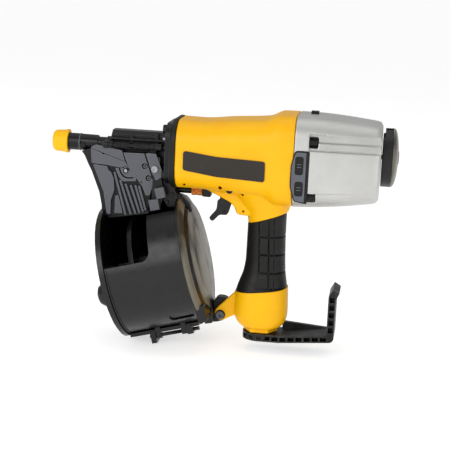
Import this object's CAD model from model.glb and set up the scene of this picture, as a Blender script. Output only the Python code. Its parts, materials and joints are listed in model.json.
"""Looks of the pneumatic coil nailer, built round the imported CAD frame.

Lengths in the tables are millimetres in the tool's own axes: X along the drive axis from the
nose tip, Y to the tool's right side and Z up from the drive axis. tool() turns them into
the frame's metres.
"""
import json
import math

import bmesh
import bpy
from mathutils import Matrix, Vector


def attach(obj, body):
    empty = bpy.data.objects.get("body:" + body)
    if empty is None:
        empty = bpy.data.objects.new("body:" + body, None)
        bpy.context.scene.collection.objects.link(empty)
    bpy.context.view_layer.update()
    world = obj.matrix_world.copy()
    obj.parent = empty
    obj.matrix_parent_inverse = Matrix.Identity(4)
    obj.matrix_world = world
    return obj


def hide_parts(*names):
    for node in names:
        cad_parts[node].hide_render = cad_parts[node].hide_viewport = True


MM = 0.001
MIDDLE_X = 170.9
GROUND = 197.3

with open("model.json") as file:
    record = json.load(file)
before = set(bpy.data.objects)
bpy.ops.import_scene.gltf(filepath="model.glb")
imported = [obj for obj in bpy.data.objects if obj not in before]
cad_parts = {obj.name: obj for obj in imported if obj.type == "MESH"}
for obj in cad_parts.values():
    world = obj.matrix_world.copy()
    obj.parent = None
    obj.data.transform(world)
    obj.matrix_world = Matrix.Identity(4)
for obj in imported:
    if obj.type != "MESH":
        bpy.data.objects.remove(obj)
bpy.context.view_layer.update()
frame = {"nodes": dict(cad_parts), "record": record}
NODES = frame["nodes"]
BODY_OF = {name: body for body, names in frame["record"]["behaviour"]["bodies"].items()
           for name in names}
SLOT_OF = {row["node"]: row["material_slot"] for row in frame["record"]["subparts"]}
MATERIALS = {}


def tool(x, y, z):
    """A point in the tool's millimetres, as a vector in the frame's metres."""
    return Vector(((x - MIDDLE_X) * MM, y * MM, (z + GROUND) * MM))


# ---------------------------------------------------------------- materials
def srgb(red, green, blue):
    """Display colour 0-255 to linear."""
    def channel(value):
        value /= 255.0
        return value / 12.92 if value <= 0.04045 else ((value + 0.055) / 1.055) ** 2.4
    return channel(red), channel(green), channel(blue), 1.0


class Shader:
    """A Principled material and the node helpers that its finish is built from."""

    def __init__(self, name, roughness, metallic=0.0):
        self.material = bpy.data.materials.new(name)
        self.material.use_nodes = True
        self.nodes = self.material.node_tree.nodes
        self.links = self.material.node_tree.links
        self.bsdf = self.nodes["Principled BSDF"]
        self.bsdf.inputs["Metallic"].default_value = metallic
        self.bsdf.inputs["Roughness"].default_value = roughness
        self.place = self.nodes.new("ShaderNodeTexCoord").outputs["Object"]
        MATERIALS[name] = self.material

    def noise(self, scale, detail=4.0, stretch=(1, 1, 1)):
        mapping = self.nodes.new("ShaderNodeMapping")
        mapping.inputs["Scale"].default_value = stretch
        self.links.new(self.place, mapping.inputs["Vector"])
        node = self.nodes.new("ShaderNodeTexNoise")
        node.inputs["Scale"].default_value = scale
        node.inputs["Detail"].default_value = detail
        self.links.new(mapping.outputs["Vector"], node.inputs["Vector"])
        return node.outputs["Fac"]

    def cells(self, scale):
        node = self.nodes.new("ShaderNodeTexVoronoi")
        node.inputs["Scale"].default_value = scale
        self.links.new(self.place, node.inputs["Vector"])
        return node.outputs["Distance"]

    def edge_wear(self, strength):
        """Near 1 along the edges and 0 on the flats, whatever the mesh's density."""
        rounded_normal = self.nodes.new("ShaderNodeBevel")
        rounded_normal.samples = 4
        rounded_normal.inputs["Radius"].default_value = 0.0006
        alike = self.nodes.new("ShaderNodeVectorMath")
        alike.operation = "DOT_PRODUCT"
        self.links.new(rounded_normal.outputs["Normal"], alike.inputs[0])
        self.links.new(self.nodes.new("ShaderNodeNewGeometry").outputs["Normal"], alike.inputs[1])
        return self.remap(alike.outputs["Value"], 0.98, 0.80, 0.0, strength)

    def remap(self, value, from_low, from_high, low, high):
        node = self.nodes.new("ShaderNodeMapRange")
        node.inputs["From Min"].default_value = from_low
        node.inputs["From Max"].default_value = from_high
        node.inputs["To Min"].default_value = low
        node.inputs["To Max"].default_value = high
        self.links.new(value, node.inputs["Value"])
        return node.outputs["Result"]

    def blend(self, factor, first, second):
        """Two colours mixed by a factor; either may be a colour or a socket."""
        node = self.nodes.new("ShaderNodeMix")
        node.data_type = "RGBA"
        self.links.new(factor, node.inputs["Factor"])
        for socket, value in ((node.inputs[6], first), (node.inputs[7], second)):
            if isinstance(value, tuple):
                socket.default_value = value
            else:
                self.links.new(value, socket)
        return node.outputs[2]

    def colour(self, value):
        self.links.new(value, self.bsdf.inputs["Base Color"])

    def roughness(self, value):
        self.links.new(value, self.bsdf.inputs["Roughness"])

    def bump(self, height, distance, strength=1.0):
        """Relief in metres; a second call adds to the first."""
        node = self.nodes.new("ShaderNodeBump")
        node.inputs["Distance"].default_value = distance
        node.inputs["Strength"].default_value = strength
        self.links.new(height, node.inputs["Height"])
        normal = self.bsdf.inputs["Normal"]
        if normal.is_linked:
            self.links.new(normal.links[0].from_socket, node.inputs["Normal"])
        self.links.new(node.outputs["Normal"], normal)


def painted(name, tone, deep, worn, roughness):
    """Sprayed paint: slight drift of tone, orange peel and thinner paint on the edges."""
    shader = Shader(name, roughness)
    drift = shader.remap(shader.noise(28.0, 3.0), 0.35, 0.65, 0.0, 1.0)
    shader.colour(shader.blend(shader.edge_wear(0.5),
                               shader.blend(drift, tone, deep), worn))
    shader.roughness(shader.remap(shader.noise(160.0), 0.3, 0.7, roughness - 0.05, roughness + 0.07))
    shader.bump(shader.noise(900.0, 2.0), 0.00004, 0.35)
    shader.bsdf.inputs["Specular IOR Level"].default_value = 0.25


def silver():
    """Metallic paint: fine flake in a light grey coat."""
    shader = Shader("silver_paint", 0.42, 0.65)
    flake = shader.remap(shader.cells(2600.0), 0.0, 0.7, 0.0, 1.0)
    drift = shader.remap(shader.noise(35.0, 3.0), 0.35, 0.65, 0.0, 1.0)
    base = shader.blend(flake, srgb(180, 180, 178), srgb(200, 200, 197))
    shader.colour(shader.blend(drift, base, srgb(186, 186, 183)))
    shader.roughness(shader.remap(shader.noise(240.0), 0.3, 0.7, 0.36, 0.48))
    shader.bump(shader.noise(1400.0, 2.0), 0.00005, 0.35)


def moulded(name, tone, pale, roughness, grain, relief, specular=0.5):
    """Moulded plastic or rubber: spark grain with scuffs on the outer edges."""
    shader = Shader(name, roughness)
    shader.bsdf.inputs["Specular IOR Level"].default_value = specular
    scuff = shader.remap(shader.noise(70.0, 5.0), 0.5, 0.75, 0.0, 0.16)
    shader.colour(shader.blend(shader.edge_wear(0.8), shader.blend(scuff, tone, pale), pale))
    shader.roughness(shader.remap(shader.noise(120.0), 0.3, 0.7, roughness - 0.07, roughness + 0.08))
    shader.bump(shader.noise(grain, 3.0), relief, 0.5)


def metal(name, tone, worn, roughness, metallic, specular=0.5, grain=420.0):
    """Machined or coated metal: fine grain and bare edges."""
    shader = Shader(name, roughness, metallic)
    shader.bsdf.inputs["Specular IOR Level"].default_value = specular
    shader.colour(shader.blend(shader.edge_wear(0.9), tone, worn))
    grains = shader.noise(grain, 4.0)
    shader.roughness(shader.remap(grains, 0.3, 0.7, roughness - 0.08, roughness + 0.1))
    shader.bump(grains, 0.00004, 0.4)


def smoked(name, tone, shade):
    """Smoke-grey polished plastic: soft dark streaks that run down the sheet."""
    shader = Shader(name, 0.36)
    shader.bsdf.inputs["Specular IOR Level"].default_value = 0.22
    streak = shader.remap(shader.noise(38.0, 2.0, (1.0, 1.0, 0.22)), 0.46, 0.58, 0.0, 0.9)
    shader.colour(shader.blend(streak, tone, shade))
    shader.roughness(shader.remap(shader.noise(90.0), 0.3, 0.7, 0.32, 0.40))


def make_materials():
    painted("yellow_paint", srgb(246, 184, 0), srgb(242, 176, 0), srgb(252, 198, 20), 0.40)
    painted("yellow_moulded", srgb(247, 186, 0), srgb(243, 178, 0), srgb(252, 200, 24), 0.44)
    silver()
    moulded("black_rubber", srgb(14, 13, 12), srgb(34, 32, 30), 0.50, 700.0, 0.00006, 0.30)
    moulded("black_plastic", srgb(15, 15, 16), srgb(40, 40, 42), 0.40, 900.0, 0.00004, 0.36)
    moulded("canister_plastic", srgb(10, 10, 12), srgb(30, 30, 32), 0.30, 1000.0, 0.00002, 0.40)
    moulded("hook_plastic", srgb(14, 14, 15), srgb(120, 120, 120), 0.44, 900.0, 0.00004, 0.30)
    moulded("grey_plastic", srgb(84, 87, 94), srgb(120, 123, 130), 0.48, 900.0, 0.00005, 0.4)
    moulded("plate_grey", srgb(44, 39, 34), srgb(60, 54, 48), 0.38, 1100.0, 0.00002, 0.25)
    smoked("dome_shell", srgb(112, 108, 95), srgb(40, 38, 34))
    metal("black_metal", srgb(9, 9, 10), srgb(92, 92, 94), 0.34, 0.1, 0.32)
    metal("door_metal", srgb(84, 86, 91), srgb(148, 150, 153), 0.44, 0.45, grain=700.0)
    metal("door_recess", srgb(8, 8, 9), srgb(60, 61, 63), 0.42, 0.0, 0.25, grain=700.0)
    metal("latch_metal", srgb(86, 88, 93), srgb(150, 152, 156), 0.45, 0.45, grain=800.0)
    metal("screw_black", srgb(16, 16, 17), srgb(62, 62, 64), 0.36, 0.5)
    metal("steel", srgb(150, 152, 155), srgb(205, 206, 208), 0.28, 0.9)
    metal("copper_alloy", srgb(206, 116, 44), srgb(244, 176, 104), 0.38, 0.7)


# ---------------------------------------------------------------- camera, light and floor
CAMERA_AT = (330.3, -1259.9, 172.66)
CAMERA_SEES = (175.6, 0.0, -74.1)
CAMERA_ROLL = 2.757


LENS_MM = 104.0
SENSOR_MM = 36.0


def camera():
    made = bpy.data.cameras.new("camera")
    made.sensor_width = SENSOR_MM
    made.lens = LENS_MM
    obj = bpy.data.objects.new("camera", made)
    bpy.context.scene.collection.objects.link(obj)
    place = tool(*CAMERA_AT)
    aim = (tool(*CAMERA_SEES) - place).to_track_quat("-Z", "Y").to_matrix().to_4x4()
    roll = Matrix.Rotation(math.radians(CAMERA_ROLL), 4, "Z")
    obj.matrix_world = Matrix.Translation(place) @ aim @ roll
    made.clip_end = 200.0
    bpy.context.scene.camera = obj


def area_light(name, place, size, power):
    made = bpy.data.lights.new(name, "AREA")
    made.shape = "RECTANGLE"
    made.size, made.size_y = size
    made.energy = power
    obj = bpy.data.objects.new(name, made)
    bpy.context.scene.collection.objects.link(obj)
    obj.location = place
    obj.rotation_euler = (Vector((0, 0, 0.12)) - Vector(place)).to_track_quat("-Z", "Y").to_euler()


WORLD_GLOW = 0.5
FLOOR_GLOW = 0.55
FLOOR_REACH = 60.0
FLOOR_Z = -0.0004


def studio():
    area_light("key", (-0.9, -1.7, 0.9), (1.4, 1.2), 17.0)
    area_light("fill", (1.4, -1.3, 0.5), (1.2, 1.0), 5.0)
    area_light("top", (0.0, 0.1, 1.9), (1.8, 1.4), 6.0)
    world = bpy.data.worlds.new("studio")
    bpy.context.scene.world = world
    world.use_nodes = True
    background = world.node_tree.nodes["Background"]
    background.inputs["Color"].default_value = (1.0, 1.0, 1.0, 1.0)
    background.inputs["Strength"].default_value = WORLD_GLOW
    bpy.context.scene.view_settings.view_transform = "Standard"


def floor():
    """A wide pale table that glows a little, like a lit white sweep."""
    mesh = bpy.data.meshes.new("floor")
    corners = [(x * FLOOR_REACH, y * FLOOR_REACH, FLOOR_Z)
               for x, y in ((-1, -1), (1, -1), (1, 1), (-1, 1))]
    mesh.from_pydata(corners, [], [(0, 1, 2, 3)])
    obj = bpy.data.objects.new("floor", mesh)
    bpy.context.scene.collection.objects.link(obj)
    shader = Shader("floor_paper", 0.9)
    tone = shader.remap(shader.noise(3.0), 0.3, 0.7, 0.0, 1.0)
    shader.colour(shader.blend(tone, (0.80, 0.80, 0.80, 1.0), (0.82, 0.82, 0.82, 1.0)))
    shader.bsdf.inputs["Emission Color"].default_value = (1.0, 1.0, 1.0, 1.0)
    shader.bsdf.inputs["Emission Strength"].default_value = FLOOR_GLOW
    mesh.materials.append(MATERIALS["floor_paper"])


# ---------------------------------------------------------------- shapes
TOOL = Matrix.Translation((-MIDDLE_X * MM, 0.0, GROUND * MM)) @ Matrix.Scale(MM, 4)
NAIL_ANGLE = 15.0
MAGAZINE = TOOL @ Matrix.Rotation(-math.radians(NAIL_ANGLE), 4, "Y")


def shape(points, faces, frame_at=TOOL):
    """A closed mesh object from millimetre points in the tool's or the magazine's axes."""
    mesh = bpy.data.meshes.new("shape")
    mesh.from_pydata([frame_at @ Vector(point) for point in points], [], faces)
    bm = bmesh.new()
    bm.from_mesh(mesh)
    bmesh.ops.remove_doubles(bm, verts=bm.verts, dist=1e-7)
    bmesh.ops.recalc_face_normals(bm, faces=bm.faces)
    bm.to_mesh(mesh)
    bm.free()
    obj = bpy.data.objects.new("shape", mesh)
    bpy.context.scene.collection.objects.link(obj)
    return obj


def skin(rings, frame_at=TOOL):
    """A closed skin through rings of equally many points."""
    count = len(rings[0])
    points = [point for ring in rings for point in ring]
    faces = [list(range(count)), [len(points) - 1 - i for i in range(count)]]
    for level in range(len(rings) - 1):
        low, high = level * count, (level + 1) * count
        for i in range(count):
            j = (i + 1) % count
            faces.append((low + i, low + j, high + j, high + i))
    return shape(points, faces, frame_at)


def rounded(corners, steps=6):
    """An outline from (a, b) or (a, b, radius) corners, with an arc at each radius."""
    points = []
    for i, corner in enumerate(corners):
        here = Vector(corner[:2])
        if len(corner) < 3:
            points.append(here)
            continue
        before = (Vector(corners[i - 1][:2]) - here).normalized()
        after = (Vector(corners[(i + 1) % len(corners)][:2]) - here).normalized()
        half = before.angle(after) / 2
        reach = corner[2] / math.tan(half)
        centre = here + (before + after).normalized() * corner[2] / math.sin(half)
        first = here + before * reach - centre
        sweep = -first.angle_signed(here + after * reach - centre)
        points += [centre + Matrix.Rotation(sweep * step / steps, 2) @ first
                   for step in range(steps + 1)]
    return points


AXES = {"X": lambda a, b, level: (level, a, b),
        "Y": lambda a, b, level: (a, level, b),
        "Z": lambda a, b, level: (a, b, level)}


def prism(corners, low, high, axis="Y", frame_at=TOOL, steps=6):
    """A flat outline, thick along one axis from low to high."""
    outline = rounded(corners, steps)
    return skin([[AXES[axis](a, b, level) for a, b in outline] for level in (low, high)],
                frame_at)


def block(low, high, frame_at=TOOL):
    """A box between two opposite corners."""
    return prism(((low[0], low[2]), (high[0], low[2]), (high[0], high[2]), (low[0], high[2])),
                 low[1], high[1], "Y", frame_at)


def flank(side, near, far):
    """Low and high Y of a layer between two distances from the middle plane."""
    return sorted((side * near, side * far))


def lathe(profile, centre, axis=(1, 0, 0), sides=72, frame_at=TOOL):
    """A (radius, distance along the axis) profile turned round the axis; closed at radius 0."""
    turn = Vector(axis).to_track_quat("Z", "Y").to_matrix()
    centre = Vector(centre)
    rings = [[centre + turn @ Vector((radius * math.cos(2 * math.pi * i / sides),
                                      radius * math.sin(2 * math.pi * i / sides), along))
              for i in range(sides)] for radius, along in profile]
    points = [point for ring in rings for point in ring]
    levels = len(rings)
    closed = profile[0][0] > 0.0
    faces = []
    for level in range(levels if closed else levels - 1):
        low, high = level * sides, (level + 1) % levels * sides
        for i in range(sides):
            j = (i + 1) % sides
            faces.append((low + i, low + j, high + j, high + i))
    return shape(points, faces, frame_at)


def bar(start, end, radius, end_radius=None, sides=32, frame_at=TOOL):
    """A round bar or cone between two points."""
    way = Vector(end) - Vector(start)
    top = radius if end_radius is None else end_radius
    return lathe(((0.0, 0.0), (radius, 0.0), (top, way.length), (0.0, way.length)),
                 start, way, sides, frame_at)


def coil(start, end, coil_r, wire_r, turns, steps=20, sides=8):
    """A wire wound round the line from start to end."""
    start, way = Vector(start), Vector(end) - Vector(start)
    turn = way.to_track_quat("Z", "Y").to_matrix()
    rings = []
    for i in range(int(turns * steps) + 1):
        angle = 2 * math.pi * i / steps
        spot = start + way * i / (turns * steps)
        outward = turn @ Vector((math.cos(angle), math.sin(angle), 0.0))
        along = way.normalized()
        rings.append([spot + outward * (coil_r + wire_r * math.cos(2 * math.pi * k / sides))
                      + along * wire_r * math.sin(2 * math.pi * k / sides) for k in range(sides)])
    return skin(rings)


def settle(obj):
    """Apply an object's modifiers to its mesh."""
    graph = bpy.context.evaluated_depsgraph_get()
    graph.update()
    mesh = bpy.data.meshes.new_from_object(obj.evaluated_get(graph))
    old = obj.data
    obj.modifiers.clear()
    obj.data = mesh
    bpy.data.meshes.remove(old)
    return obj


def merge(obj, operation, parts, solver="EXACT"):
    """Cut parts from a piece or join them to it; the parts are used up."""
    for part in parts:
        work = obj.modifiers.new("merge", "BOOLEAN")
        work.operation = operation
        work.solver = solver
        work.object = part
        settle(obj)
        bpy.data.objects.remove(part)
    return obj


def carve(obj, *parts, solver="EXACT"):
    return merge(obj, "DIFFERENCE", parts, solver)


def weld(obj, *parts, solver="EXACT"):
    return merge(obj, "UNION", parts, solver)


def edged(obj, width=0.5, segments=2, angle=32.0):
    """Round an object's edges."""
    bm = bmesh.new()
    bm.from_mesh(obj.data)
    bmesh.ops.remove_doubles(bm, verts=bm.verts, dist=2e-6)
    bmesh.ops.dissolve_limit(bm, angle_limit=math.radians(0.6), verts=bm.verts, edges=bm.edges)
    bm.to_mesh(obj.data)
    bm.free()
    work = obj.modifiers.new("edges", "BEVEL")
    work.width = width * MM
    work.segments = segments
    work.limit_method = "ANGLE"
    work.angle_limit = math.radians(angle)
    work.use_clamp_overlap = True
    return settle(obj)


def cast(obj, voxel=0.7, passes=8):
    """Blend a body's joins and edges as a casting has them."""
    work = obj.modifiers.new("voxels", "REMESH")
    work.mode = "VOXEL"
    work.voxel_size = voxel * MM
    soft = obj.modifiers.new("soft", "SMOOTH")
    soft.factor = 0.5
    soft.iterations = passes
    return settle(obj)


def eased(sections, step):
    """Sections at close steps, on smooth curves through the given ones."""
    places = [row[0] for row in sections]
    width = len(sections[0])
    slopes = []
    for k in range(1, width):
        chord = [(sections[i + 1][k] - sections[i][k]) / (places[i + 1] - places[i])
                 for i in range(len(places) - 1)]
        inner = [2 * a * b / (a + b) if a * b > 0 else 0.0 for a, b in zip(chord, chord[1:])]
        slopes.append([chord[0]] + inner + [chord[-1]])
    rows = []
    for i in range(len(places) - 1):
        span = places[i + 1] - places[i]
        count = max(1, round(abs(span) / step))
        for j in range(count + (i == len(places) - 2)):
            t = j / count
            row = [places[i] + span * t]
            for k in range(1, width):
                a, b = sections[i][k], sections[i + 1][k]
                u, v = slopes[k - 1][i] * span, slopes[k - 1][i + 1] * span
                row.append(a * (2 * t ** 3 - 3 * t * t + 1) + u * (t ** 3 - 2 * t * t + t)
                           + b * (3 * t * t - 2 * t ** 3) + v * (t ** 3 - t * t))
            rows.append(tuple(row))
    return rows


def corner_ring(half, low, high, low_r, high_r, steps=16):
    """Points (a, b) of a rounded rectangle, with its own lower and upper corner radii."""
    points = []
    for side, edge, radius, start in ((1, low, low_r, -90.0), (1, high, high_r, 0.0),
                                      (-1, high, high_r, 90.0), (-1, low, low_r, 180.0)):
        inward = radius if edge == low else -radius
        for step in range(steps + 1):
            angle = math.radians(start + 90.0 * step / steps)
            points.append((side * (half - radius) + radius * math.cos(angle),
                           edge + inward + radius * math.sin(angle)))
    return points


def along_x(sections, top_r, grow=0.0, step=1.5):
    return [[(x, y, z) for y, z in corner_ring(half + grow, low - grow, top + grow, low_r, top_r)]
            for x, top, low, half, low_r in eased(sections, step)]


def along_z(sections, grow=0.0, squareness=0.88, step=1.5, steps=16):
    rings = []
    for z, front, back, half in eased(sections, step):
        radius = (half + grow) * squareness
        ring = corner_ring(half + grow, front - grow, back + grow, radius, radius, steps)
        rings.append([(x, y, z) for y, x in ring])
    return rings


def beyond(point, slope, upward):
    """Everything above or below the plane through (x, z) that rises by slope toward +X."""
    size = 120.0
    low, high = (0.0, size) if upward else (-size, 0.0)
    tilt = Matrix.Translation((point[0], 0, point[1])) @ Matrix.Rotation(-math.radians(slope), 4, "Y")
    return block((-size, -size, low), (size, size, high), TOOL @ tilt)


# ---------------------------------------------------------------- pieces
def show(obj, name, node, finish, replaced=(), smooth=35.0):
    """Make a shape a visible piece that moves with a node's body and stands for nodes."""
    obj.name = name
    obj.data.name = name
    obj.data.materials.clear()
    obj.data.materials.append(MATERIALS[finish])
    obj.data.shade_smooth()
    obj.data.set_sharp_from_angle(angle=math.radians(smooth))
    even = obj.modifiers.new("even_normals", "WEIGHTED_NORMAL")
    even.keep_sharp = True
    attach(obj, BODY_OF[node])
    if replaced:
        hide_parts(*replaced)
    return obj


def softened(node, finish, edge=0.4, segments=2, angle=32.0):
    """The node's own shape with rounded edges."""
    obj = bpy.data.objects.new(node, NODES[node].data.copy())
    bpy.context.scene.collection.objects.link(obj)
    edged(obj, edge, segments, angle)
    return show(obj, node + "_shape", node, finish, [node])


# ---------------------------------------------------------------- housing
BARREL = (
    (128.0, 31.0, -36.6, 36.5, 23.0), (150.0, 30.4, -36.2, 38.0, 22.0),
    (178.0, 33.0, -38.8, 40.0, 25.0), (214.0, 35.8, -42.0, 42.3, 26.0),
    (228.0, 41.3, -46.4, 44.7, 24.0), (243.0, 41.5, -46.8, 45.0, 23.0),
)
TOP_R = 22.0
ROOT = (
    (-20.0, 176.0, 241.0, 33.0), (-36.0, 182.0, 241.0, 30.0), (-48.0, 190.0, 240.0, 23.5),
    (-58.0, 197.0, 238.0, 19.5), (-68.0, 198.8, 236.4, 18.2), (-80.0, 198.7, 236.6, 18.0),
)
CORE = (
    (-46.0, 203.0, 232.5, 14.0), (-106.0, 203.0, 232.8, 14.2),
    (-128.0, 199.5, 235.0, 17.0), (-168.0, 199.5, 234.0, 17.0),
)
GRIP_TOP = ((217.5, -62.8), 19.0)
GRIP_END = ((216.0, -135.2), 7.0)
HANDLE_X = 216.5
VALVE_Z = -48.0
SCREW_SPOTS = [(side * 38.0, height) for side in (-1, 1) for height in (18.5, -33.5)]
NOSE_SPOTS = [(side * 25.0, height) for side in (-1, 1) for height in (21.0, -24.0)]
CHEEK_PINS = ((137.4, -31.6), (194.4, -38.4), (194.6, -56.6))


def housing():
    """The yellow casting: barrel, trigger cheeks and the root of the handle."""
    body = skin(along_x(BARREL, TOP_R))
    root = carve(skin(along_z(ROOT)), beyond(*GRIP_TOP, False))
    cheeks = edged(prism((
        (152.0, -28.0), (152.0, -36.6), (157.0, -37.8), (165.0, -41.4, 8.0), (180.5, -48.5, 5.0),
        (185.2, -53.0, 4.0), (188.2, -60.4), (200.0, -61.5), (208.0, -40.0), (208.0, -28.0),
    ), -14.3, 14.3), 2.2, 3)
    cast(weld(body, root, cheeks), 0.8, 14)
    rims = [block((243.0, -60, -60), (260.0, 60, 60)), block((110.0, -60, -60), (128.0, 60, 60))]
    bore = lathe(((0.0, 120.0), (22.8, 120.0), (22.8, 139.7), (24.6, 139.7), (24.6, 200.0),
                  (29.0, 200.0), (29.0, 250.0), (0.0, 250.0)), (0, 0, 0))
    slot = prism(((148.0, -70.0), (148.0, -36.2), (156.0, -27.4), (179.0, -27.4), (186.5, -40.0),
                  (186.5, -70.0)), -5.8, 5.8)
    ways = [bar((180.0, 0, VALVE_Z), (209.0, 0, VALVE_Z), 7.9),
            bar((HANDLE_X, 0, -110.0), (HANDLE_X, 0, -22.0), 10.0),
            bar((172.8, -45, -32), (172.8, 45, -32), 2.0)]
    ways += [bar((228.0, y, z), (250.0, y, z), 2.9) for y, z in SCREW_SPOTS]
    ways += [bar((120.0, y, z), (139.0, y, z), 2.8) for y, z in NOSE_SPOTS]
    for side in (-1, 1):
        for x, z in CHEEK_PINS:
            ways.append(bar((x, side * 9.0, z), (x, side * 45.0, z), 1.35))
        recess = prism([(181.6 + 3.4 * math.cos(a), -34.6 + 3.4 * math.sin(a))
                        for a in (math.radians(180 + 18 * i) for i in range(11))],
                       *flank(side, 24.0, 45.0))
        ways.append(recess)
    carve(body, *rims, bore, slot, *ways, solver="MANIFOLD")
    for side in (-1, 1):
        stud = edged(bar((181.6, side * 20.0, -34.6), (181.6, side * 27.4, -34.6), 3.3), 0.3)
        show(stud, f"cheek_stud_{side + 1}", "main_housing", "screw_black")
    core = carve(skin(along_z(CORE)), beyond((217.5, -40.0), 0.0, True))
    weld(body, core, solver="MANIFOLD")
    carve(body, bar((HANDLE_X, 0, -175.0), (HANDLE_X, 0, -40.0), 10.0), solver="MANIFOLD")
    show(body, "housing_casting", "main_housing", "yellow_paint", ["main_housing"], 50.0)


# ---------------------------------------------------------------- cap
CAP = (
    (243.4, 41.5, -46.8, 45.0, 23.0), (258.0, 41.4, -46.2, 45.0, 23.0),
    (317.0, 37.0, -39.6, 41.5, 22.0), (322.8, 35.8, -38.0, 40.2, 21.0),
    (325.0, 32.6, -35.2, 37.4, 20.0),
)
CAP_BACK_X = 330.0


def side_channel(side, profile, front_x, narrow, squeeze):
    """A stepped channel along the cap's flank that follows its taper."""
    near = [(front_x, side * y, z) for y, z in profile]
    far = [(CAP_BACK_X, side * (y - narrow), z * squeeze) for y, z in profile]
    return skin([near, far])


def cap():
    """The grey cylinder cap with its stepped side channels and bolt pockets."""
    body = skin(along_x(CAP, TOP_R))
    cuts = []
    for side in (-1, 1):
        cuts.append(side_channel(side, ((60, 26.9), (38.6, 26.6), (39.6, 19.2), (41.4, 18.2),
                                        (42.4, 12.4), (41.0, 11.2), (60, 9.8)), 257.0, 4.4, 0.97))
        cuts.append(side_channel(side, ((60, -30.2), (43.4, -30.4), (42.6, -38.6), (60, -39.4)),
                                 257.0, 4.6, 0.87))
        cuts += [bar((257.0, side * 39.6, height), (265.4, side * 39.4, height), 5.5)
                 for height in (18.5, -33.5)]
    cast(carve(body, *cuts), 0.6, 5)
    rims = [block((230.0, -60, -60), (243.4, 60, 60))]
    cavity = lathe(((0.0, 235.0), (30.5, 235.0), (30.5, 306.0), (0.0, 306.0)), (0, 0, -2.0))
    holes = [bar((300.0, 0, 18.0), (330.0, 0, 18.0), 6.0), bar((312.0, 0, 4.0), (330.0, 0, 4.0), 2.6)]
    holes += [bar((240.0, y, z), (260.0, y, z), 2.9) for y, z in SCREW_SPOTS]
    recesses = [pad_block(side, 0.3, 42.6, 55.0) for side in (-1, 1)]
    carve(body, *rims, cavity, *holes, *recesses, solver="MANIFOLD")
    show(body, "cap_casting", "cylinder_cap", "silver_paint", ["cylinder_cap"], 45.0)


def pad_block(side, grow, inner, outer):
    low, high = flank(side, inner, outer)
    return prism(((243.7 - grow, 10.5 + grow, 4.0), (258.0 + grow, 10.5 + grow, 1.5),
                  (258.0 + grow, -40.0 - grow, 1.5), (243.7 - grow, -36.0 - grow, 4.0)), low, high)


PAD_WINDOWS = ((244.9, 253.0, -12.2, 5.4), (245.4, 253.6, -32.6, -18.4))


def pads():
    """The rubber side guards with their grey faces and ribbed windows."""
    for side, node in ((-1, "side_pad_left"), (1, "side_pad_right")):
        base = pad_block(side, 0.0, 42.6, 45.6)
        bulge = prism(((244.4, 10.2, 3.0), (240.9, -4.0, 16.0), (240.9, -24.0, 16.0),
                       (245.4, -37.8, 3.0), (256.2, -39.6, 1.2), (256.2, 10.2, 1.2)),
                      *flank(side, 45.15, 46.0))
        show(edged(weld(base, bulge), 0.35), node + "_frame", node, "black_rubber", [node])
        face = prism(((245.2, 9.2, 2.6), (242.0, -4.0, 15.0), (242.0, -24.0, 15.0),
                      (246.2, -36.8, 2.6), (255.2, -38.2, 1.0), (255.2, 9.2, 1.0)),
                     *flank(side, 45.9, 46.4))
        for low_x, high_x, low_z, high_z in PAD_WINDOWS:
            carve(face, prism(((low_x, low_z, 2.4), (high_x, low_z, 2.4), (high_x, high_z, 2.4),
                               (low_x, high_z, 2.4)), *flank(side, 44.0, 48.0)))
        show(edged(face, 0.15), node + "_face", node, "grey_plastic")
        for index, (low_x, high_x, low_z, high_z) in enumerate(PAD_WINDOWS):
            middle = (low_z + high_z) / 2
            ribs = [prism(((low_x + 2.0, middle + offset - 0.3), (high_x - 2.0, middle + offset - 0.3),
                           (high_x - 2.0, middle + offset + 0.3), (low_x + 2.0, middle + offset + 0.3)),
                          *flank(side, 45.9, 46.25)) for offset in (-1.3, 1.3)]
            inset = weld(ribs[0], ribs[1])
            show(edged(inset, 0.1, 1), f"{node}_rib_{index}", node, "grey_plastic")


def plates():
    """Blank labels that follow the barrel's curve."""
    for side, node in ((-1, "name_plate_left"), (1, "name_plate_right")):
        outline = prism(((136.4, 2.8, 2.6), (169.0, -0.9), (216.2, -2.2, 2.6),
                         (216.4, -22.0, 2.6), (169.8, -20.3), (136.6, -16.0, 2.6)),
                        *flank(side, 20.0, 47.0))
        outer = skin(along_x(BARREL, TOP_R, 1.0))
        inner = skin(along_x(BARREL, TOP_R, 0.25))
        merge(outline, "INTERSECT", [outer])
        carve(outline, inner)
        show(edged(outline, 0.25), node + "_blank", node, "plate_grey", [node])


def deflector():
    """The drum that turns the exhaust, with its polished domed back."""
    drum = lathe([(3.2, 331.0), (6.5, 331.0), (6.5, 334.0), (26.3, 334.0), (26.3, 325.8),
                  (28.1, 325.6), (28.7, 326.4), (28.7, 335.2), (28.2, 335.8), (3.2, 335.8)],
                 (0, 0, 4.0), sides=96)
    carve(drum, block((320.0, -19.0, 18.0), (327.6, 19.0, 40.0)),
          block((327.0, -8.0, 20.0), (334.6, 8.0, 40.0)))
    show(edged(drum, 0.3, 2, 40.0), "deflector_drum", "exhaust_deflector", "black_plastic",
         ["exhaust_deflector"])
    crown = [(28.2 * math.cos(a), 336.0 + 5.4 * math.sin(a))
             for a in (math.radians(6.0 * i) for i in range(14))]
    dome = lathe([(3.2, 336.0), (28.2, 336.0)] + crown[1:] + [(7.0, 341.4), (7.0, 338.9),
                 (3.2, 338.9)], (0, 0, 4.0), sides=96)
    show(dome, "deflector_dome", "exhaust_deflector", "dome_shell")


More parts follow.
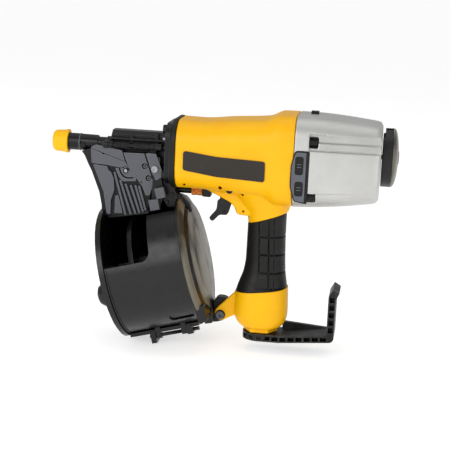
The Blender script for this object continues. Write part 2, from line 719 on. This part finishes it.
def front_ring():
    """The black ring between the housing and the nose."""
    ring = skin(along_x(((122.6, 29.6, -35.8, 35.6, 22.0), (124.6, 31.4, -37.2, 36.9, 23.0),
                         (127.7, 31.4, -37.2, 36.9, 23.0)), TOP_R))
    carve(ring, bar((120.0, 0, 0), (130.0, 0, 0), 25.0, sides=72))
    holes = [bar((118.0, y, z), (132.0, y, z), 2.9) for y, z in NOSE_SPOTS]
    show(edged(carve(ring, *holes), 0.7, 3), "front_ring", "front_cover", "black_rubber",
         ["front_cover"])


# ---------------------------------------------------------------- handle
GRIP = (
    (-50.0, 198.8, 236.4, 18.0), (-80.0, 198.7, 236.6, 18.0), (-104.0, 198.4, 237.4, 18.5),
    (-116.0, 196.9, 238.2, 19.6), (-128.0, 193.0, 240.0, 21.3), (-137.0, 190.4, 241.4, 22.6),
    (-146.0, 189.4, 242.0, 23.2),
)
END_CAP = (
    (-124.0, 191.0, 241.2, 22.3), (-145.0, 189.2, 242.3, 23.4), (-160.0, 189.3, 242.6, 23.8),
    (-166.0, 191.0, 241.2, 22.8), (-171.5, 195.0, 237.6, 20.4), (-174.0, 199.0, 234.0, 17.4),
)
PANEL_BREAKS = (-80.2, -98.0, -116.0, -131.5)
PANEL_WIDTH = 9.8


def groove(distance, half_width):
    """1 in the middle of a groove and 0 outside it."""
    return max(0.0, 1.0 - (abs(distance) / half_width) ** 2)


def grip_relief(x, z):
    """How far the grip's skin sinks at a place on its flank, in millimetres."""
    lead = 211.0 + (-67.0 - z) * 0.05
    across = x - lead
    depth = 1.3 * groove(across, 0.75) + 1.3 * groove(across - PANEL_WIDTH, 0.75)
    depth += 0.9 * groove(across - PANEL_WIDTH / 2, 0.55)
    depth += 0.9 * groove(across - PANEL_WIDTH - 5.5, 0.6)
    if across > 0.0:
        depth += max(1.3 * groove(z - level, 0.8) for level in PANEL_BREAKS)
    return min(depth, 1.3)


def grip():
    """The rubber grip with its grooved panels."""
    rings = along_z(GRIP, step=0.5, steps=48)
    for ring in rings:
        middle = (min(p[0] for p in ring) + max(p[0] for p in ring)) / 2
        for i, (x, y, z) in enumerate(ring):
            inward = Vector((middle - x, -y, 0)).normalized() * grip_relief(x, z)
            ring[i] = (x + inward.x, y + inward.y, z)
    body = skin(rings)
    top, top_slope = GRIP_TOP
    end, end_slope = GRIP_END
    carve(body, beyond((top[0], top[1] - 0.3), top_slope, True),
          beyond((end[0], end[1] + 0.3), end_slope, False),
          skin(along_z(((-30.0, 203.0, 232.5, 14.0),) + CORE, 0.3)))
    show(body, "grip_rubber", "handle_grip", "black_rubber", ["handle_grip"], 60.0)


def end_cap():
    """The yellow end of the handle, with the arm that holds the canister."""
    body = skin(along_z(END_CAP))
    point, slope = GRIP_END
    collar = bar((HANDLE_X, 0, -178.5), (HANDLE_X, 0, -172.5), 17.4, sides=6)
    arm = edged(prism(((196.0, -137.4), (190.8, -138.2), (168.7, -161.0, 6.5),
                       (174.7, -172.0, 6.5), (191.5, -162.4), (196.0, -161.0)), -9.5, -3.0), 1.2, 3)
    cast(weld(body, edged(collar, 0.8), arm), 0.6, 6)
    seam = carve(skin(along_z(((-169.2, 180.0, 252.0, 33.0), (-168.3, 180.0, 252.0, 33.0)))),
                 skin(along_z(((-172.0, 191.6, 240.4, 22.2), (-165.0, 191.6, 240.4, 22.2)))))
    carve(body, beyond(point, slope, True), skin(along_z(CORE, 0.3)), seam,
          bar((HANDLE_X, 0, -190.0), (HANDLE_X, 0, -160.0), 9.3),
          bar((176.3, -12, -163.6), (176.3, 2, -163.6), 2.6), solver="MANIFOLD")
    show(body, "end_cap_casting", "handle_end_cap", "yellow_moulded", ["handle_end_cap"], 45.0)


HOOK_HALF = 17.6
BAR_POCKETS = [221.2 + 8.0 * i for i in range(8)]
ARM_POCKETS = [-172.0 + 7.7 * i for i in range(5)]


def hook():
    """The swivelling hook: hub, slanted bar and upright arm, with a row of pockets per flank."""
    low, high = -186.0, -178.8
    body = bar((HANDLE_X, 0, low), (HANDLE_X, 0, high), HOOK_HALF, sides=72)
    outline = prism(((HANDLE_X, high), (236.0, high), (283.4, -174.8, 3.0), (283.4, -134.8, 4.0),
                     (287.5, -127.4), (293.8, -131.2), (290.8, -138.0, 4.0), (290.8, -181.4, 5.0),
                     (236.0, low), (HANDLE_X, low)), -HOOK_HALF, HOOK_HALF)
    rib = prism(((237.5, -180.0), (237.5, -171.2), (283.6, -174.6), (283.6, -178.0)),
                13.0, HOOK_HALF)
    weld(body, outline, rib)
    cuts = [bar((HANDLE_X, 0, -195), (HANDLE_X, 0, -170), 9.3),
            bar((HANDLE_X, 0, -195), (HANDLE_X, 0, -182.7), 12.8)]
    for side in (-1, 1):
        near, far = flank(side, HOOK_HALF - 9.0, 40.0)
        for x in BAR_POCKETS:
            rise = max(0.0, x - 236.0) * 0.084
            cuts.append(prism(((x, low + 1.3 + rise), (x + 6.6, low + 1.6 + rise),
                               (x + 6.6, high - 1.2 + rise), (x, high - 1.5 + rise)), near, far))
        cuts += [block((284.5, near, z), (289.8, far, z + 5.8)) for z in ARM_POCKETS]
    for turn in (215.0, -215.0, 243.0, -243.0, 270.0, -270.0):
        spoke = Matrix.Rotation(math.radians(turn), 4, "Z")
        at = TOOL @ Matrix.Translation((HANDLE_X, 0, 0)) @ spoke
        cuts.append(block((15.2, -2.8, low + 1.6), (30.0, 2.8, high - 1.6), at))
    carve(body, *cuts)
    show(edged(body, 0.4, 2), "hook_moulding", "hook", "hook_plastic", ["hook"])


# ---------------------------------------------------------------- door and latch
DOOR_PIN = (-19.0, 1.6)
LATCH_PIVOT = (106.4, -19.6)
DOOR_RIBS = (((65.6, -25.5), (78.2, -67.6)), ((71.7, -33.2), (83.4, -66.8)),
             ((77.1, -36.6), (88.2, -65.8)), ((82.4, -37.6), (92.2, -64.8)),
             ((87.0, -37.4), (95.6, -63.6)), ((90.6, -37.6), (98.2, -61.8)))
DOOR_FACE = -17.9
DOOR_STEP = -14.9
DOOR_HOLES = ((95.7, -17.8), (99.9, -29.4))
DOOR_HOOK_LINE = ((70.6, -22.2), (72.4, -26.4), (75.0, -29.4), (79.0, -30.6), (84.4, -30.0))


def strip(start, end, width, low, high):
    """A straight band between two points on the door's face."""
    start, end = Vector(start), Vector(end)
    side = (end - start).orthogonal().normalized() * width / 2
    return prism([tuple(start + side), tuple(end + side), tuple(end - side), tuple(start - side)],
                 low, high)


def path_groove(points, width, low, high):
    """Cutters for a groove along a bent line on the door's face."""
    parts = [strip(a, b, width, low, high) for a, b in zip(points, points[1:])]
    parts += [bar((x, low, z), (x, high, z), width / 2, sides=12) for x, z in points]
    return parts


def door():
    """A dark door with raised grey plates; what is cut through a plate shows the dark door."""
    body = prism(((40.8, -2.2, 1.5), (46.0, 0.8, 1.5), (73.5, -6.5), (96.0, -5.2),
                  (111.0, -8.5, 2.0), (111.6, -27.5, 3.0), (104.6, -36.0), (101.5, -47.0),
                  (99.5, -64.0, 2.0), (58.2, -69.0, 2.0), (54.6, -46.0), (41.8, -18.0)),
                 -15.2, -8.0)
    for low, high in ((58.8, 64.0), (100.6, 106.2)):
        weld(body, edged(block((low, -16.9, -9.0), (high, -13.5, DOOR_PIN[1])), 0.5),
             edged(bar((low, *DOOR_PIN), (high, *DOOR_PIN), 3.2), 0.4))
    carve(body, bar((50, *DOOR_PIN), (115, *DOOR_PIN), 1.9),
          bar((LATCH_PIVOT[0], -25, LATCH_PIVOT[1]), (LATCH_PIVOT[0], -12, LATCH_PIVOT[1]), 1.9))
    show(edged(body, 0.4), "door_base", "door", "door_recess", ["door"], 30.0)
    upper = prism(((41.6, -2.6, 2.0), (45.8, 0.4, 2.5), (72.4, -3.8), (75.8, -14.4, 1.0),
                   (78.6, -18.4), (72.0, -20.6), (56.0, -18.6, 2.0), (42.6, -17.9, 1.5)),
                  DOOR_FACE, DOOR_STEP)
    carve(upper, *path_groove(((42.4, -3.6), (74.6, -14.0)), 0.8, -20.0, DOOR_STEP + 1.0),
          block((52.6, -20.0, -8.6), (55.4, -14.0, -7.2)))
    rest = prism(((66.0, -21.2, 1.0), (72.0, -21.6), (78.8, -18.8), (86.6, -29.4), (88.4, -33.0, 1.5),
                  (74.6, -34.2, 2.0), (70.4, -30.4, 2.0)), DOOR_FACE + 0.6, DOOR_STEP)
    carve(rest, *path_groove(DOOR_HOOK_LINE, 1.8, -20.0, -14.0),
          bar((77.0, -20.0, -23.6), (77.0, -10.0, -23.6), 3.9, sides=32))
    middle = prism(((74.2, -5.8), (96.0, -5.4), (110.4, -8.9, 1.5), (110.9, -27.4, 3.0),
                    (104.2, -36.0, 1.0), (101.6, -46.2, 1.0), (97.6, -46.6, 1.0), (94.0, -37.6),
                    (86.2, -28.2), (78.4, -17.0)),
                   DOOR_FACE + 0.3, DOOR_STEP)
    leaf = prism(((43.8, -18.9, 1.0), (58.4, -20.2, 1.2), (59.8, -24.6, 2.0), (62.2, -25.4, 2.0),
                  (65.2, -32.0, 6.0), (66.0, -43.4, 5.0), (62.8, -54.0, 6.0), (63.0, -67.8, 1.0),
                  (59.2, -67.9, 1.0), (55.4, -46.0)), DOOR_FACE + 0.2, DOOR_STEP)
    small = prism(((67.0, -49.5, 1.0), (70.2, -48.0, 1.0), (75.2, -66.4, 1.0), (66.6, -67.0, 1.0)),
                  DOOR_FACE + 0.8, DOOR_STEP)
    cuts = path_groove(DOOR_HOOK_LINE, 1.4, -20.0, -14.0)
    cuts.append(strip((94.6, -3.0), (106.6, -36.0), 1.7, -20.0, -14.0))
    for x, z, radius in (*((x, z, 3.1) for x, z in DOOR_HOLES), (92.9, -33.7, 0.9)):
        cuts.append(bar((x, -20.0, z), (x, -13.0, z), radius, sides=24))
    carve(middle, *cuts)
    ring = lathe(((2.7, 0.0), (3.5, 0.0), (3.5, 3.0), (2.7, 3.0)), (77.0, DOOR_FACE, -23.6),
                 (0, 1, 0), 40)
    carve(ring, block((77.6, -30.0, -23.2), (83.0, -10.0, -17.0)))
    ribs = [strip(start, end, 2.2, DOOR_FACE + 0.3, DOOR_STEP) for start, end in DOOR_RIBS]
    for index, part in enumerate((upper, middle, leaf, small, rest, ring, *ribs)):
        show(edged(part, 0.45), f"door_plate_{index}", "door", "door_metal", (), 30.0)
    for index, (x, z) in enumerate(DOOR_HOLES):
        screw = bar((x + 0.3, -16.6, z - 0.3), (x + 0.3, -14.0, z - 0.3), 1.9, sides=24)
        show(edged(screw, 0.2), f"door_screw_{index}", "door", "latch_metal")
        socket = bar((x + 0.3, -16.7, z - 0.3), (x + 0.3, -16.0, z - 0.3), 1.1, sides=6)
        show(socket, f"door_socket_{index}", "door", "screw_black")
    pin = edged(bar((77.0, -18.2, -23.6), (77.0, -14.8, -23.6), 1.7), 0.5)
    show(pin, "door_pivot_pin", "door", "steel")


def latch():
    """The door's latch: an arm, a dark stem and two stepped blocks."""
    arm = prism(((97.3, -4.4, 1.2), (107.0, -4.6, 1.2), (115.2, -25.4, 1.2), (107.6, -31.0, 1.2)),
                -20.6, -17.9)
    ring = lathe(((2.3, 0.0), (3.5, 0.0), (3.5, 1.2), (2.3, 1.2)),
                 (LATCH_PIVOT[0], -21.4, LATCH_PIVOT[1]), (0, 1, 0), 32)
    carve(arm, bar((LATCH_PIVOT[0], -30, LATCH_PIVOT[1]), (LATCH_PIVOT[0], -15, LATCH_PIVOT[1]), 1.9),
          ring)
    show(edged(arm, 0.4), "latch_arm", "door_latch", "latch_metal", ["door_latch"])
    stem = prism(((104.5, -25.0), (112.5, -26.0), (116.0, -44.0), (113.0, -57.0), (104.0, -56.0)),
                 -19.9, -18.2)
    show(edged(stem, 0.3), "latch_stem", "door_latch", "black_metal")
    for index, outline in enumerate((((107.0, -38.2), (116.4, -35.8), (119.2, -46.0), (110.2, -48.8)),
                                     ((101.6, -50.0), (111.4, -48.0), (114.0, -58.6), (104.4, -61.0)))):
        part = prism([(x, z, 0.8) for x, z in outline], -25.8, -20.1)
        show(edged(part, 0.8, 3), f"latch_block_{index}", "door_latch", "latch_metal")


# ---------------------------------------------------------------- canister
DRUM_T = -143.0
DRUM_R = 63.0
HINGE = (-13.0, -212.5)


def drum_arc(first, last, start, end, radius, wall, step=3.0):
    """A piece of the drum's wall between two angles and two places along the drum."""
    count = max(2, math.ceil(abs(last - first) / step))
    angles = [math.radians(first + (last - first) * i / count) for i in range(count + 1)]
    outer = [(-radius * math.sin(a), DRUM_T + radius * math.cos(a)) for a in angles]
    inner = [(-(radius - wall) * math.sin(a), DRUM_T + (radius - wall) * math.cos(a))
             for a in reversed(angles)]
    return prism(outer + inner, start, end, "X", MAGAZINE)


def cover():
    """The cover's skin with the rounded window corner, a rim and a recessed catch."""
    body = drum_arc(30.0, 168.0, 36.0, 110.5, DRUM_R, 2.5)
    window = prism(((20.0, -60.0), (82.0, -60.0), (82.0, -127.8, 9.0), (20.0, -127.8)),
                   -80.0, -10.0, "Y", MAGAZINE)
    carve(body, window)
    rim = drum_arc(77.0, 168.0, 36.0, 37.4, DRUM_R + 0.9, 3.0)
    weld(body, rim)
    catch = prism(((84.0, -187.0, 4.0), (107.0, -187.0, 2.0), (108.5, -194.5, 2.0), (83.0, -195.5, 4.0)),
                  -60.0, -20.0, "Y", MAGAZINE)
    shell = drum_arc(120.0, 168.0, 80.0, 110.0, DRUM_R + 3.0, 4.5)
    pocket = merge(catch, "INTERSECT", [shell])
    carve(body, pocket)
    tab = block((97.0, -31.5, -191.6), (105.5, -28.5, -190.2), MAGAZINE)
    show(edged(tab, 0.2), "cover_catch_tab", "canister_cover", "steel")
    for low, high in ((60.9, 66.0), (87.0, 92.5)):
        knuckle = block((low, HINGE[0] - 3.4, HINGE[1]), (high, HINGE[0] - 0.2, -203.0), MAGAZINE)
        weld(body, edged(knuckle, 0.3),
             bar((low, *HINGE), (high, *HINGE), 3.4, frame_at=MAGAZINE))
    carve(body, bar((50.0, *HINGE), (105.0, *HINGE), 1.9, frame_at=MAGAZINE))
    show(edged(body, 0.5, 2), "cover_skin", "canister_cover", "canister_plastic", ["canister_cover"])


def canister_back():
    """The stepped, polished dome that closes the drum."""
    start = 111.0
    inner = ((8.0, start + 12.3), (30.0, start + 11.3), (34.0, start + 9.9), (48.0, start + 8.2),
             (52.0, start + 6.4), (60.0, start + 3.4), (62.0, start))
    outer = [(64.5, start), (64.4, start + 2.0), (63.2, start + 4.6), (60.6, start + 5.9),
             (56.4, start + 7.2), (54.8, start + 8.6), (52.4, start + 9.7), (49.0, start + 10.2),
             (43.0, start + 11.2), (39.4, start + 11.5), (37.6, start + 12.3), (35.0, start + 12.6),
             (31.0, start + 13.3), (22.0, start + 13.9), (10.0, start + 14.3), (0.0, start + 14.4)]
    profile = [(0.0, start + 12.3)] + list(inner) + outer
    dome = lathe(profile, (0, 0, DRUM_T), (1, 0, 0), 120, MAGAZINE)
    show(dome, "canister_dome_shell", "canister_dome", "dome_shell", ["canister_dome"], 50.0)
    lip = lathe(((62.4, start - 0.3), (65.2, start - 0.3), (65.2, start + 1.9), (62.4, start + 1.9)),
                (0, 0, DRUM_T), (1, 0, 0), 120, MAGAZINE)
    show(edged(lip, 0.4), "canister_dome_rim", "canister_dome", "canister_plastic", (), 50.0)
    step = lathe(((52.0, start + 9.2), (53.2, start + 9.7), (55.2, start + 8.6), (56.8, start + 7.4),
                  (56.0, start + 6.2)), (0, 0, DRUM_T), (1, 0, 0), 120, MAGAZINE)
    show(step, "canister_dome_step", "canister_dome", "canister_plastic", (), 50.0)
    foot = prism(((120.6, -164.0, 2.0), (121.8, -178.5), (122.4, -190.0), (122.0, -201.5, 3.0),
                  (119.6, -209.6, 2.0), (111.6, -209.3, 1.0), (111.6, -164.0, 1.0)),
                 -15.0, 15.0, "Y", MAGAZINE)
    show(edged(foot, 0.7), "canister_dome_foot", "canister_dome", "canister_plastic")


# ---------------------------------------------------------------- nose details
def nose_details():
    """The small fittings along the nose, and the nose casting cleared round the trip."""
    ring = lathe(((8.3, 26.6), (8.65, 26.6), (8.65, 27.3), (8.3, 27.3)), (0, 0, 0))
    show(edged(ring, 0.1), "trip_bright_ring", "contact_trip", "latch_metal")
    lower = lathe(((6.85, 27.8), (8.35, 27.8), (7.9, 33.0), (6.85, 33.0)), (0, 0, 0))
    carve(lower, block((20, -12, -0.8), (50, 12, 12)))
    show(edged(lower, 0.2), "trip_lower_shell", "contact_trip", "black_metal")
    casting = bpy.data.objects.new("casting", NODES["nose_casting"].data.copy())
    bpy.context.scene.collection.objects.link(casting)
    room = lathe(((6.6, 30.0), (8.9, 30.0), (8.9, 46.5), (6.6, 46.5)), (0, 0, 0))
    edged(carve(casting, room), 0.45)
    show(casting, "nose_casting_shape", "nose_casting", "black_metal", ["nose_casting"])
    lip = lathe(((10.9, 12.2), (11.75, 12.6), (11.75, 15.2), (10.9, 15.6)), (0, 0, 0))
    show(edged(lip, 0.2), "tip_rim", "no_mar_tip", "yellow_moulded")
    for index, (first, last) in enumerate(((65.0, 80.0), (84.6, 99.6))):
        spring = coil((first, *DOOR_PIN), (last, *DOOR_PIN), 2.5, 0.45, 11)
        show(spring, f"door_spring_{index}", "door_hinge_pin", "black_metal")
    for index, (z, radius) in enumerate(((6.6, 1.6), (-2.6, 1.1))):
        rod = bar((60.0, -9.4, z), (117.2, -9.4, z), radius)
        show(edged(rod, 0.2), f"nose_rod_{index}", "nose_casting", "black_metal")
    line = strip((61.2, 0.0), (118.0, 0.0), 0.9, -7.0, -6.3)
    line.data.transform(Matrix.Translation((0, 0, 10.6 * MM)))
    show(edged(line, 0.2), "top_bar_line", "nose_casting", "black_metal")
    edge = prism(((29.8, -9.1), (33.0, -11.6, 3.0), (37.6, -20.6, 5.0), (48.6, -48.0, 12.0),
                  (51.4, -61.0), (52.0, -71.8, 1.0), (60.0, -71.0), (57.0, -50.0), (44.0, -18.0),
                  (40.0, -9.3)), -7.6, -2.0)
    show(edged(edge, 0.5), "nose_front_edge", "nose_casting", "black_metal")
    sill = prism(((58.0, -71.6), (60.0, -73.4, 1.0), (99.6, -66.4, 1.0), (100.6, -62.0), (60.0, -68.0)),
                 -9.0, -2.0)
    show(edged(sill, 0.4), "nose_sill", "nose_casting", "black_metal")
    for index, (x, low, high) in enumerate(((114.4, -4.0, 13.0), (104.0, 3.0, 13.4), (79.0, 3.6, 9.6))):
        clamp = block((x, -10.6, low), (x + 3.2, -6.2, high))
        show(edged(clamp, 0.5), f"nose_clamp_{index}", "nose_casting", "black_metal")
    bridge = prism(((112.5, -31.0), (123.0, -33.0), (126.0, -40.0, 2.0), (131.0, -49.0, 3.0),
                    (133.0, -56.5, 2.0), (120.0, -57.5), (114.0, -50.0)), -15.0, -6.5)
    show(edged(bridge, 0.8), "nose_bridge", "nose_casting", "black_metal")
    arm = prism(((123.0, -44.0), (129.0, -43.2, 2.0), (137.4, -49.4, 1.5), (141.6, -53.6, 2.0),
                 (144.4, -60.6, 1.5), (138.0, -62.6, 1.5), (129.6, -60.4), (123.6, -56.0)),
                -13.0, -4.0)
    show(edged(arm, 0.8), "nose_bridge_arm", "nose_casting", "black_metal")
    knob = edged(bar((134.5, -14.8, -52.0), (134.5, -12.4, -52.0), 2.6, sides=24), 0.5)
    show(knob, "nose_bridge_knob", "nose_casting", "screw_black")
    for index, (x, z) in enumerate(((123.5, -44.5), (119.0, -52.5))):
        head = edged(bar((x, -17.0, z), (x, -14.6, z), 1.9, sides=20), 0.4)
        show(head, f"bridge_bolt_{index}", "nose_casting", "screw_black")
    for index, (x, z) in enumerate(((113.0, 9.6), (118.4, 4.4))):
        head = edged(bar((x, -12.6, z), (x, -9.6, z), 1.3, sides=20), 0.3)
        show(head, f"link_bolt_{index}", "nose_casting", "steel")


def trigger():
    """The trigger with its smooth finger curve, slotted for the lever inside."""
    body = prism(((168.5, -34.0, 3.0), (168.5, -27.8, 3.5), (177.1, -27.8, 3.5), (178.3, -40.0),
                  (181.4, -50.0, 2.5), (177.9, -63.3, 3.0), (170.0, -63.3, 5.0), (163.3, -70.9, 2.3),
                  (159.4, -67.2, 2.3), (166.9, -58.2, 9.0), (167.3, -51.4, 6.0), (167.3, -49.6),
                  (169.9, -47.4), (169.9, -40.0)), -5.2, 5.2, steps=8)
    edged(body, 1.1, 3, 50.0)
    slot = prism(((160.0, -48.0), (160.0, -36.8), (186.0, -36.8), (186.0, -63.5), (171.5, -63.5),
                  (169.6, -54.0), (169.2, -48.0)), -2.7, 2.7)
    carve(body, slot, bar((172.8, -10, -32.0), (172.8, 10, -32.0), 1.9),
          bar((174.6, -10, -59.5), (174.6, 10, -59.5), 1.5))
    show(body, "trigger_moulding", "trigger", "black_plastic", ["trigger"], 40.0)
    for side in (-1, 1):
        head = edged(bar((174.9, side * 5.0, -60.2), (174.9, side * 5.9, -60.2), 1.9), 0.3)
        show(head, f"lever_pin_head_{side + 1}", "trigger", "screw_black")


def canister_catch():
    """The catch that holds the opening cover at the drum's rear rim."""
    body = prism(((111.4, -185.5, 1.0), (116.0, -183.0, 1.5), (120.5, -184.0, 2.0),
                  (121.5, -199.0, 2.0), (113.0, -202.0, 1.5), (111.4, -197.0, 1.0)),
                 -46.0, -22.0, "Y", MAGAZINE)
    show(edged(body, 0.7), "canister_catch", "canister_dome", "canister_plastic")


def arm_washer():
    """The washer under the screw that joins the handle's arm to the canister's bracket."""
    washer = edged(bar((176.3, -10.3, -163.6), (176.3, -9.5, -163.6), 5.0), 0.2)
    show(washer, "bracket_washer", "canister_bracket", "black_metal")


def knurled_wheel():
    """The depth wheel with its knurls and a groove round the middle."""
    knurls = 20
    outline = []
    for i in range(knurls * 2):
        radius = 4.7 if i % 2 == 0 else 4.25
        angle = math.pi * i / knurls
        outline.append((radius * math.cos(angle), radius * math.sin(angle) - 41.4))
    wheel = prism(outline, 141.0, 151.4, "X")
    groove_ring = lathe(((4.1, 145.6), (6.0, 145.6), (6.0, 146.8), (4.1, 146.8)), (0, 0, -41.4))
    carve(wheel, groove_ring, bar((140.0, 0, -41.4), (152.0, 0, -41.4), 2.5))
    show(edged(wheel, 0.12, 1), "wheel_knurled", "depth_wheel", "copper_alloy", ["depth_wheel"])


SOFTENED = (
    ("canister_base", "canister_plastic", 0.6), ("canister_bracket", "black_plastic", 0.6),
    ("nail_platform", "canister_plastic", 0.5),
    ("feeder_housing", "black_metal", 0.5), ("feeder_plug", "black_metal", 0.5),
    ("contact_trip", "black_metal", 0.35), ("no_mar_tip", "yellow_moulded", 0.6),
    ("trip_foot", "black_metal", 0.4), ("trigger_pin", "black_metal", 0.2),
    ("lever_pin", "black_metal", 0.2),
    ("door_hinge_pin", "black_metal", 0.3), ("cover_hinge_pin", "black_metal", 0.3),
    ("top_bumper", "black_rubber", 0.4), ("inlet_bushing", "steel", 0.3),
    ("latch_screw", "steel", 0.2), ("bracket_screw", "latch_metal", 0.3),
    ("deflector_screw", "screw_black", 0.3), ("canister_post", "steel", 0.3),
    ("cap_screw_1", "screw_black", 0.3), ("cap_screw_2", "screw_black", 0.3),
    ("cap_screw_3", "screw_black", 0.3), ("cap_screw_4", "screw_black", 0.3),
    ("nose_screw_1", "screw_black", 0.3), ("nose_screw_2", "screw_black", 0.3),
    ("nose_screw_3", "screw_black", 0.3), ("nose_screw_4", "screw_black", 0.3),
)


def softened_nodes():
    for node, finish, edge in SOFTENED:
        softened(node, finish, edge)


PIECES = (housing, cap, pads, plates, deflector, front_ring, grip, end_cap, hook, door, latch,
          cover, canister_back, nose_details, trigger, canister_catch, arm_washer, knurled_wheel,
          softened_nodes)


FINISHES = {
    "yellow_body": "yellow_paint", "yellow_tip": "yellow_moulded", "silver_body": "silver_paint",
    "black_screws": "screw_black", "black_rubber": "black_rubber", "plate_grey": "plate_grey",
    "black_metal": "black_metal", "steel": "steel", "piston_alloy": "steel",
    "black_plastic": "black_plastic", "depth_brass": "copper_alloy", "door_grey": "door_metal",
}


def plain_nodes():
    """Every node that no piece replaces gets its procedural finish."""
    for name, obj in NODES.items():
        obj.data.materials.clear()
        obj.data.materials.append(MATERIALS[FINISHES[SLOT_OF[name]]])


make_materials()
plain_nodes()
camera()
studio()
floor()
for make in PIECES:
    make()
